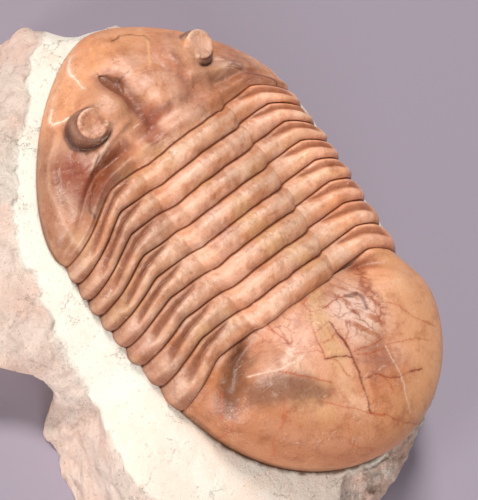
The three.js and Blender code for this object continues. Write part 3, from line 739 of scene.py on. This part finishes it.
def paint_eye(tone, p, rho, side):
    """A dark wall, partly its own colour and partly painted shade, with painted shade deepening to its foot
    and in the crease there, a painted highlight along the forward side of the rim, and fine rays on the top
    """
    angle, wall = eye_wall(p[..., :2], side)
    away = p[..., :2] - eye_centre(side)
    around = np.arctan2(away[..., 1], side * away[..., 0])
    radius = np.hypot(*xy(away))
    lobe = smooth(-EYE_CHORD - 0.1, -EYE_CHORD + 0.3, side * away[..., 0]) * (rho < EYE["rim"])
    rays = fbm(np.stack([7 * around, 1.4 * radius, 0 * radius], -1), 1, 4, 641, 0.6)
    tone = mix(tone, EYE_TOP_TONE[side], 0.8 * lobe)
    tone = mix(tone, srgb(0x9A6044), 0.4 * lobe * smooth(-0.1, 0.35, rays) * smooth(0.2, 1.6, radius))
    tone = mix(tone, srgb(0xE4B498), 0.45 * lobe * smooth(0.8, 1.8, radius) * smooth(0.3, -0.2, rays))
    # painted highlight along the forward side of the rim
    tone = mix(tone, CALCITE, 0.6 * lobe * bell(radius, 2.1, 0.11) * smooth(0.2, 0.9, around))
    on_wall = wall * smooth(EYE["foot"] + 0.1, EYE["foot"] - 0.1, rho)
    on_wall = on_wall * smooth(EYE["rim"] - 0.05, EYE["rim"] + 0.1, rho)
    rings = 0.8 + 0.5 * fbm(np.stack([0.6 * angle, 4 * rho, 0 * rho], -1), 1, 2, 651)
    # dark brown wall: partly its own colour, partly painted shade
    tone = mix(tone, EYE_WALL_TONE[side], unit(0.85 * on_wall * rings))
    # painted shade deepening to the foot of the wall, and in the crease at its foot
    tone = mix(tone, UMBER, 0.75 * on_wall * smooth(2.5, EYE["foot"], rho))
    tone = mix(tone, UMBER * 0.6, 0.85 * wall * bell(rho, EYE["foot"] + 0.05, 0.25) * smooth(1.1, 0.1, angle))
    knob = mound(*xy(away), (-side * KNOB[0], KNOB[1]), (0.32, 0.32))
    return mix(tone, CALCITE, 0.6 * knob)


def tail_tone(p, depth):
    x, y = xy(p)
    tone = shell_tone(p, depth)
    reach = shield_reach(TAIL, x, y)
    rim = smooth(0.60, 0.78, reach + 0.06 * fbm(p, 5, 3, 301))
    # the rim's orange-brown, with painted shade towards the lower left and painted light on the right
    rim_tone = mix(srgb(0xB4744A), srgb(0xDDA478), smooth(-12, 9, x + 0.25 * (y + 40)))
    tone = mix(tone, rim_tone, 0.85 * rim)
    tone = mix(tone, srgb(0xE0A67C), 0.8 * block(x, y, (12.5, -41), (4.5, 7)))
    tone = mix(tone, srgb(0xCC9678), 0.7 * mound(x, y, (-9.5, -33), (4.5, 3.6)))
    # a mosaic of pale pieces beside the axis, with rusty seams between them
    bent = p + 0.9 * np.stack([fbm(p, 1.8, 3, 347), fbm(p, 1.8, 3, 349), 0 * x], -1)
    border = cells(bent, 1.9, 341)[1]
    mosaic = block(x, y, (5.4, -35.2), (4.6, 5))
    broken = unit(mosaic + block(x, y, (-5, -31.8), (2.6, 2.9)))
    fresh = smooth(-0.65, -0.05, streaks(p, (0.5, -0.86), 1, 343) + 0.5 * fbm(p, 1.2, 4, 345, 0.6))
    pale_piece = mix(srgb(0xD8A488), srgb(0xF6D6C6), mosaic)
    tone = mix(tone, mix(srgb(0xBE7E64), pale_piece, fresh), 0.8 * broken)
    rusty = 0.65 * broken * smooth(0.11, 0.02, border)
    tone = mix(tone, RUST, rusty * smooth(-0.4, 0.1, fbm(p, 2.5, 3, 346)))
    mauve = 0.7 * block(x, y, (3.2, -42), (2.8, 2.8))
    tone = mix(tone, srgb(0xA87262), unit(mauve * (0.8 + 0.6 * streaks(p, GRAIN, 0.5, 351))))
    for details in UNDER_STAINS:
        tone = stain_or_painted_light(tone, p, *details)
    seams = smooth(0.22, 0.05, cells(p, 1.1, 371)[1])
    tone = mix(tone, RUST, 0.6 * seams * smooth(1.5, 0.3, line_distance(x, y, RUST_SEAM)))
    for details in OVER_STAINS_AND_SHADE:
        tone = stain_or_painted_light(tone, p, *details)
    for width, strength, line in TAIL_CRACKS:
        colour = mix(srgb(0xB4562A), RUST * 0.7, smooth(0.65, 0.9, strength))
        tone = draw_line(tone, p, line, width, colour, strength)
    for width, line in TAIL_SCRATCHES:
        tone = draw_line(tone, p, line, width, PALE, 0.75)
    tone = tone * [0.98, 0.93, 0.89]
    # darker brown along the foot of the outer wall
    return mix(tone, EDGE_BROWN, 0.55 * smooth(RIM + 1, RIM + 0.3, p[..., 2]))


def opaque(colour):
    return (*colour, 1)


class Look:
    """A material coloured by the mesh's painted tone, with helpers that add nodes"""

    def __init__(self, name):
        self.material = bpy.data.materials.new(name)
        self.material.use_nodes = True
        self.tree = self.material.node_tree
        self.shader = self.tree.nodes["Principled BSDF"].inputs
        self.coords = self.add("ShaderNodeTexCoord", {})["Object"]
        self.tone = self.add("ShaderNodeAttribute", {}, attribute_name="tone")

    def feed(self, value, socket):
        """Links a socket to another node's output, or sets it to a fixed value"""
        if isinstance(value, bpy.types.NodeSocket):
            self.tree.links.new(value, socket)
        elif value is not None:
            socket.default_value = value

    def add(self, kind, inputs, **settings):
        node = self.tree.nodes.new(kind)
        for name, value in settings.items():
            setattr(node, name, value)
        for key, value in inputs.items():
            self.feed(value, node.inputs[key])
        return node.outputs

    def noise(self, scale, detail, roughness=0.6, coords=None):
        inputs = {"Vector": coords or self.coords, "Scale": scale, "Detail": detail, "Roughness": roughness}
        return self.add("ShaderNodeTexNoise", inputs)["Fac"]

    def ramp(self, value, low, high, low_to, high_to):
        """Soft step from low_to at low to high_to at high"""
        inputs = {"Value": value, "From Min": low, "From Max": high, "To Min": low_to, "To Max": high_to}
        return self.add("ShaderNodeMapRange", inputs, interpolation_type="SMOOTHSTEP")["Result"]

    def blend(self, mode, amount, a, b):
        return self.add("ShaderNodeMix", {0: amount, 6: a, 7: b}, data_type="RGBA", blend_type=mode)[2]

    def multiply(self, a, b):
        return self.add("ShaderNodeMath", {0: a, 1: b}, operation="MULTIPLY")[0]

    def bump(self, height, distance, strength, normal=None):
        inputs = {"Height": height, "Distance": distance, "Strength": strength, "Normal": normal}
        return self.add("ShaderNodeBump", inputs)["Normal"]

    def stretched(self, turn, long, wide):
        """Coordinates drawn out in one plan direction, for scratches"""
        inputs = {"Vector": self.coords, "Rotation": (0, 0, turn), "Scale": (1 / long, 1 / wide, 1 / wide)}
        return self.add("ShaderNodeMapping", inputs)["Vector"]

    def thin_lines(self, value, half_width):
        """Thin lines where a noise value passes its middle"""
        rising = self.ramp(value, 0.5 - half_width, 0.5, 0, 1)
        falling = self.ramp(value, 0.5, 0.5 + half_width, 1, 0)
        return self.multiply(rising, falling)


def shell_material():
    look = Look("shell_calcite")
    mottle = look.noise(430, 7, 0.65)
    patches = look.noise(900, 6, 0.7)
    grain = look.noise(2600, 5)
    amount = look.ramp(mottle, 0.46, 0.70, 0, 0.75)
    colour = look.blend("MULTIPLY", amount, look.tone["Color"], opaque((0.72, 0.58, 0.50)))
    colour = look.blend("MIX", look.ramp(patches, 0.56, 0.72, 0, 0.2), colour, opaque(PALE))
    colour = look.blend("MULTIPLY", look.ramp(grain, 0.50, 0.72, 0, 0.3), colour, opaque((0.66, 0.50, 0.42)))
    scratch = look.thin_lines(look.noise(1, 1, 0.4, look.stretched(0.75, 0.02, 0.0009)), 0.012)
    scratch = look.multiply(scratch, look.ramp(look.noise(300, 3), 0.5, 0.6, 0, 0.4))
    colour = look.blend("MIX", scratch, colour, opaque(PALE))
    vein = look.thin_lines(look.noise(140, 5), 0.006)
    vein = look.multiply(vein, look.ramp(look.noise(95, 2), 0.5, 0.6, 0, 0.4))
    colour = look.blend("MIX", vein, colour, opaque(RUST * 0.7))
    look.feed(colour, look.shader["Base Color"])
    look.feed(look.ramp(patches, 0.3, 0.7, 0.30, 0.46), look.shader["Roughness"])
    look.feed(0.5, look.shader["Specular IOR Level"])
    normal = look.bump(grain, 0.00012, 0.6)
    normal = look.bump(patches, 0.0002, 0.35, normal)
    normal = look.bump(mottle, 0.0005, 0.25, normal)
    look.feed(normal, look.shader["Normal"])
    return look.material


def stone_material():
    look = Look("limestone_broken")
    crumb = look.noise(520, 9, 0.72)
    grit = look.noise(2400, 5, 0.75)
    amount = look.ramp(crumb, 0.50, 0.72, 0, 0.15)
    colour = look.blend("MULTIPLY", amount, look.tone["Color"], opaque((0.95, 0.80, 0.72)))
    speck = look.ramp(look.noise(1900, 4), 0.60, 0.70, 0, 0.4)
    colour = look.blend("MIX", speck, colour, opaque(srgb(0xA88674)))
    crack = look.thin_lines(look.noise(190, 6, 0.65), 0.008)
    crack = look.multiply(crack, look.ramp(look.noise(120, 2), 0.48, 0.60, 0, 0.6))
    colour = look.blend("MIX", crack, colour, opaque(srgb(0x7C6458)))
    look.feed(colour, look.shader["Base Color"])
    look.feed(0.92, look.shader["Roughness"])
    look.feed(0.2, look.shader["Specular IOR Level"])
    # the bumps are strong where the tone's fourth channel says that the stone is broken
    lumps = look.noise(260, 9, 0.68)
    depth = look.ramp(look.tone["Alpha"], 0, 1, 0.12, 1)
    normal = look.bump(look.multiply(lumps, depth), 0.0018, 0.55)
    normal = look.bump(look.multiply(crumb, depth), 0.0009, 0.65, normal)
    normal = look.bump(grit, 0.0003, 0.7, normal)
    normal = look.bump(look.ramp(crack, 0, 1, 1, 0), 0.0003, 0.6, normal)
    look.feed(normal, look.shader["Normal"])
    return look.material


SHELL = shell_material()
LIMESTONE = stone_material()


def shell_piece(name, top, tone):
    points, faces = slab(top)
    make_piece(name, points, faces, tone, UMBER, SHELL)


def segment_piece(number):
    share, place = np.meshgrid(columns(64, 40, 100), np.linspace(0, 1, 31))
    top, depth = segment_surface(number, place, share)
    shell_piece(f"thorax_segment_{number}", top, shell_tone(top, depth))


def shield_piece(name, shield, relief, tone_of, rows, across):
    share, place = np.meshgrid(across, np.linspace(0, 1, rows))
    plan = shield_plan(shield, share, place)
    edge = thorax(shield["boundary"], share)[0]
    distance = np.hypot(plan[..., 0] - edge[..., 0], plan[..., 1] - edge[..., 1])
    rings = {}
    if shield is HEAD:
        for side in (-1, 1):
            plan, rings[side] = eye_warp(plan, side)
    near = np.exp(-(distance / JOIN_WIDTH) ** 2)
    height = dome_height(shield, *xy(plan)) * (1 - near) + edge[..., 2] * near
    rise, depth = relief(*xy(plan), distance)
    inside = np.minimum(1, 5 * (1 - place)) * (1 - np.abs(share) ** 12)
    top = np.concatenate([plan, (height + rise * inside)[..., None]], -1)
    for side, rho in rings.items():
        top = raise_eye(top, rho, side)
    wander = (0.09 * fbm(top, 3.5, 3, 41) + 0.03 * fbm(top, 0.8, 2, 53)) * inside
    top[..., 2] += wander
    # darker within 0.35 mm of the thorax: painted shade in the joint
    tone = tone_of(top, np.maximum(1 - smooth(0, 0.35, distance), depth))
    for side, rho in rings.items():
        tone = paint_eye(tone, top, rho, side)
    if shield["way"] > 0:
        top, tone = top[::-1], tone[::-1]
    shell_piece(name, top, tone)


for number in range(1, SEGMENTS + 1):
    segment_piece(number)
shield_piece("cephalon", HEAD, head_relief, head_tone, 200, columns(64, 30, 70))
shield_piece("pygidium", TAIL, tail_relief, tail_tone, 190, columns(60, 30, 66))


# Stone
def body_outline(count):
    """Outline of the whole animal, anticlockwise from the right genal corner, evenly spaced"""
    share = np.linspace(-1, 1, 300)
    steps = np.linspace(0, 1, 60)
    tips = np.linspace(0, SEGMENTS, 120)
    one = np.ones_like
    parts = [
        shield_plan(HEAD, one(steps), steps), shield_plan(HEAD, share[::-1], one(share)),
        shield_plan(HEAD, -one(steps), steps[::-1]), thorax(tips, -1)[0][..., :2],
        shield_plan(TAIL, -one(steps), steps), shield_plan(TAIL, share, one(share)),
        shield_plan(TAIL, one(steps), steps[::-1]), thorax(tips[::-1], 1)[0][..., :2],
    ]
    line = np.concatenate(parts)
    line = np.concatenate([line, line[:1]])
    length = np.concatenate([[0], np.cumsum(np.hypot(*np.diff(line, axis=0).T))])
    even = np.linspace(0, length[-1], count, endpoint=False)
    return np.stack([np.interp(even, length, line[:, i]) for i in (0, 1)], -1)


def grow(outline, distance):
    along = np.roll(outline, -2, 0) - np.roll(outline, 2, 0)
    along /= np.linalg.norm(along, axis=1, keepdims=True)
    return outline + distance * np.stack([along[:, 1], -along[:, 0]], -1)


def stone_shape(direction):
    """Ledge radius, ledge height and wall flare in each direction from the stone's centre"""
    offset = LEDGE[:, :2] - STONE_CENTRE
    corner = np.arctan2(offset[:, 1], offset[:, 0]) % (2 * pi)
    values = np.column_stack([np.hypot(offset[:, 0], offset[:, 1]), LEDGE[:, 2:]])
    order = np.argsort(corner)
    corner, values = corner[order], values[order]
    count = len(corner)
    index = (np.searchsorted(corner, direction, side="right") - 1) % count
    span = (corner[(index + 1) % count] - corner[index]) % (2 * pi)
    t = (((direction - corner[index]) % (2 * pi)) / span)[:, None]
    a, b, c, d = (values[(index + step) % count] for step in (-1, 0, 1, 2))
    slope, following, change = (c - a) / 2, (d - b) / 2, c - b
    square, cube = 3 * change - 2 * slope - following, slope + following - 2 * change
    return b + t * slope + t ** 2 * square + t ** 3 * cube


CREAM = srgb(0xEDE7D9)
PALE_PINK = srgb(0xFEE8D8)
DUSTY = srgb(0xFAD8C6)
LIP_GAP = 0.03
LEAST_LEDGE = 0.9
LEDGE_ROWS = 45
WALL_ROWS = 43
MARGIN = 0.05


def stone_rows(lip):
    """Rows of points and their kinds: -1 under the animal, 0 to 1 on the ledge and 1 to 2 on the wall"""
    ray = lip - STONE_CENTRE
    direction = np.arctan2(ray[:, 1], ray[:, 0]) % (2 * pi)
    heading = np.stack([np.cos(direction), np.sin(direction)], -1)
    lip_radius = np.hypot(ray[:, 0], ray[:, 1])
    ledge, height, flare = stone_shape(direction).T
    ledge = np.maximum(ledge, lip_radius + LEAST_LEDGE)
    lip_height = 0.15 - 0.5 * smooth(-30, -40, lip[:, 1])
    rows = [np.column_stack([lip, np.full(len(lip), SEAT - 0.2)]), np.column_stack([lip, lip_height])]
    kinds = [-1, 0]

    def add_row(radius, z, kind):
        rows.append(np.column_stack([STONE_CENTRE + heading * radius[:, None], z]))
        kinds.append(kind)

    for u in np.linspace(0, 1, LEDGE_ROWS + 1)[1:]:
        radius = lip_radius + (ledge - lip_radius) * u
        add_row(radius, lip_height + (height - lip_height) * u ** 1.25, u)
    for u in np.linspace(0, 1, WALL_ROWS + 1)[1:]:
        z = height + (BASE - height) * u ** 1.05
        chips = fbm(np.column_stack([30 * heading, 0.9 * z]), 5, 4, 451, 0.6)
        radius = ledge + flare * u + 0.5 * np.sin(pi * u) ** 0.8 + 3.0 * chips * u ** 0.35
        add_row(np.maximum(radius, lip_radius + LEAST_LEDGE), z, 1 + u)
    return np.array(rows), np.array(kinds)[:, None] * np.ones(len(lip)), heading


def stone_roughness(p, out, kind):
    """How broken the stone is: 0 where it was scraped clean beside the animal, 1 elsewhere"""
    x, y = xy(p)
    reach = np.interp(y, [-45, -38, -30, -22, -8, 4, 16, 24], [13, 12, 9.5, 6.2, 5.2, 2.7, 2.5, 4.5])
    rear_break = smooth(-12, -5, x) * smooth(-47, -52, y)
    reach = reach * (1 - 0.95 * rear_break) + 1.3 * fbm(p, 5, 4, 401, 0.6)
    rough = smooth(reach - 0.5, reach + 0.9, out + np.maximum(kind - 1, 0) * 12)
    return np.maximum(rough, smooth(1, 1.12, kind))


def break_stone(p, out, kind, heading, rough, ridge):
    """Pushes the points out to lumps and chips, within the model's box"""
    lump = fbm(p, 9, 3, 411) + 0.75 * fbm(p, 3.6, 4, 421, 0.6)
    fine = (0.10 + 0.25 * rough) * fbm(p, 2, 4, 441, 0.6)
    push = rough * (lump - 0.9 * ridge) * 1.15 + fine - 0.25 * rough
    push = push * np.where(kind < 0, 0, smooth(0, 1.5, out))
    wall_lean = smooth(0.85, 1.25, kind)
    p[..., :2] += (push * wall_lean)[..., None] * heading
    p[..., 2] += push * (1 - 0.8 * wall_lean)
    low, high = (np.array(corner) * METRE - OFFSET for corner in cad_box)
    p[..., :2] = np.clip(p[..., :2], low[:2] + MARGIN, high[:2] - MARGIN)
    p[..., 2] = np.maximum(p[..., 2], BASE)
    p[-1, :, 2] = BASE


def stone_tone(p, out, rough, ridge):
    """Colour of the stone: cream where it is clean, rosy and dusty where it is broken"""
    y = p[..., 1]
    rosier = 0.6 * smooth(-20, -45, y) + fbm(p, 4, 4, 501, 0.6)
    tone = mix(CREAM, srgb(0xF2DCCA), 0.8 * smooth(0, 0.7, rosier))
    rosy = mix(PALE_PINK, DUSTY, smooth(-0.2, 0.5, fbm(p, 7, 4, 511, 0.6)))
    rosy = mix(rosy, CREAM, 0.5 * smooth(0.15, 0.5, fbm(p, 11, 3, 521)))
    rosy = mix(rosy, srgb(0xFCD0B8), 0.7 * smooth(-36, -44, y) * smooth(-0.3, 0.4, fbm(p, 3, 4, 561, 0.6)))
    tone = mix(tone, rosy, rough)
    creased = 0.4 * rough * smooth(0.06, 0, ridge)
    tone = mix(tone, srgb(0xB5917F), creased * smooth(0, 0.4, fbm(p, 3, 2, 531)))
    tone = mix(tone, srgb(0xD6C4B8), 0.4 * rough * smooth(0.25, 0.5, fbm(p, 5, 4, 541, 0.6)))
    # darker brown on the stone beside the animal's rear edge
    dark_edge = smooth(0.75, 0.15, out + 0.4 * fbm(p, 0.8, 3, 551)) * smooth(-30, -42, y)
    return mix(tone, EDGE_BROWN, 0.9 * dark_edge)


def close_stone(p):
    """Points and faces of the stone, closed by a fan under the animal and a fan at the base"""
    cols = p.shape[1]
    index = np.arange(p.shape[0] * cols).reshape(-1, cols)
    after = np.roll(index, -1, 1)
    quads = np.stack([index[:-1], index[1:], after[1:], after[:-1]], -1).reshape(-1, 4)
    points = np.concatenate([p.reshape(-1, 3), [[*STONE_CENTRE, SEAT - 0.2], [*STONE_CENTRE, BASE]]])
    top, bottom = len(points) - 2, len(points) - 1
    fans = np.concatenate([
        np.column_stack([np.full(cols, top), index[0], after[0]]),
        np.column_stack([np.full(cols, bottom), after[-1], index[-1]]),
    ])
    return points, [quads, fans]


def stone_piece():
    lip = grow(body_outline(760), -LIP_GAP)
    p, kind, heading = stone_rows(lip)
    out = np.hypot(p[..., 0] - lip[:, 0], p[..., 1] - lip[:, 1])
    rough = stone_roughness(p, out, kind)
    ridge = np.abs(fbm(p, 5, 4, 431, 0.55))
    break_stone(p, out, kind, heading, rough, ridge)
    tone = np.concatenate([stone_tone(p, out, rough, ridge), rough[..., None]], -1)
    points, faces = close_stone(p)
    make_piece("matrix", points, faces, tone, opaque(PALE_PINK), LIMESTONE)


stone_piece()


# Floor, light and camera
CAMERA_DISTANCE = 420
VIEW_ROLL = np.radians(62.0)
LIGHT_DISTANCE = 2.0
FLOOR_HALF = 3.0


def image_axes():
    """Right, up and towards-camera directions of the view"""
    back = np.array([-0.45, 0.061, 0.0])
    back[2] = np.sqrt(1 - back @ back)
    right = np.cross([0, 0, 1.0], back)
    right /= np.linalg.norm(right)
    up = np.cross(back, right)
    cos, sin = np.cos(VIEW_ROLL), np.sin(VIEW_ROLL)
    return cos * right + sin * up, -sin * right + cos * up, back


RIGHT, UP, BACK = image_axes()
AIM = np.array([0, -14.0, 6.0]) + 0.95 * RIGHT - 4.565 * UP


def facing(position, target, up):
    """Placement at a position, turned to look at the target"""
    z = (position - target) / np.linalg.norm(position - target)
    x = np.cross(up, z)
    x /= np.linalg.norm(x)
    rows = np.column_stack([x, np.cross(z, x), z, position])
    return Matrix([*rows.tolist(), [0, 0, 0, 1]])


camera_data = bpy.data.cameras.new("camera")
camera_data.lens = 210
camera_data.sensor_width = 36
camera_data.clip_start = 0.01
camera_data.clip_end = 20
camera = bpy.data.objects.new("camera", camera_data)
camera.matrix_world = facing(to_frame(AIM + CAMERA_DISTANCE * BACK), to_frame(AIM), UP)
bpy.context.collection.objects.link(camera)
bpy.context.scene.camera = camera


def area_light(name, direction, size, power, colour):
    data = bpy.data.lights.new(name, "AREA")
    data.shape = "DISK"
    data.size = size
    data.energy = power
    data.color = colour
    light = bpy.data.objects.new(name, data)
    direction = np.array(direction) / np.linalg.norm(direction)
    target = to_frame(AIM)
    light.matrix_world = facing(target + LIGHT_DISTANCE * direction, target, np.array([0.1, 0.2, 1.0]))
    bpy.context.collection.objects.link(light)


area_light("key", (0.12, 0.58, 0.80), 0.50, 38, (1.0, 0.97, 0.95))
area_light("side", (-0.98, 0.02, 0.17), 0.7, 32, (1.0, 0.97, 0.96))
area_light("fill", (-0.35, -0.85, 0.45), 1.2, 15, (1.0, 0.98, 0.98))

world = bpy.data.worlds.new("studio")
world.use_nodes = True
backdrop = world.node_tree.nodes["Background"].inputs
backdrop["Color"].default_value = (0.84, 0.84, 0.86, 1)
backdrop["Strength"].default_value = 0.22
bpy.context.scene.world = world
bpy.context.scene.view_settings.view_transform = "Standard"

floor_mesh = bpy.data.meshes.new("floor_surface")
corners = [(x * FLOOR_HALF, y * FLOOR_HALF, 0) for x, y in ((-1, -1), (1, -1), (1, 1), (-1, 1))]
floor_mesh.from_pydata(corners, [], [(0, 1, 2, 3)])
floor = bpy.data.objects.new("floor", floor_mesh)
bpy.context.collection.objects.link(floor)
floor_material = bpy.data.materials.new("floor_plain")
floor_material.use_nodes = True
floor_shader = floor_material.node_tree.nodes["Principled BSDF"].inputs
floor_shader["Base Color"].default_value = opaque(srgb(0x9F95A2))
floor_shader["Roughness"].default_value = 0.9
floor_mesh.materials.append(floor_material)
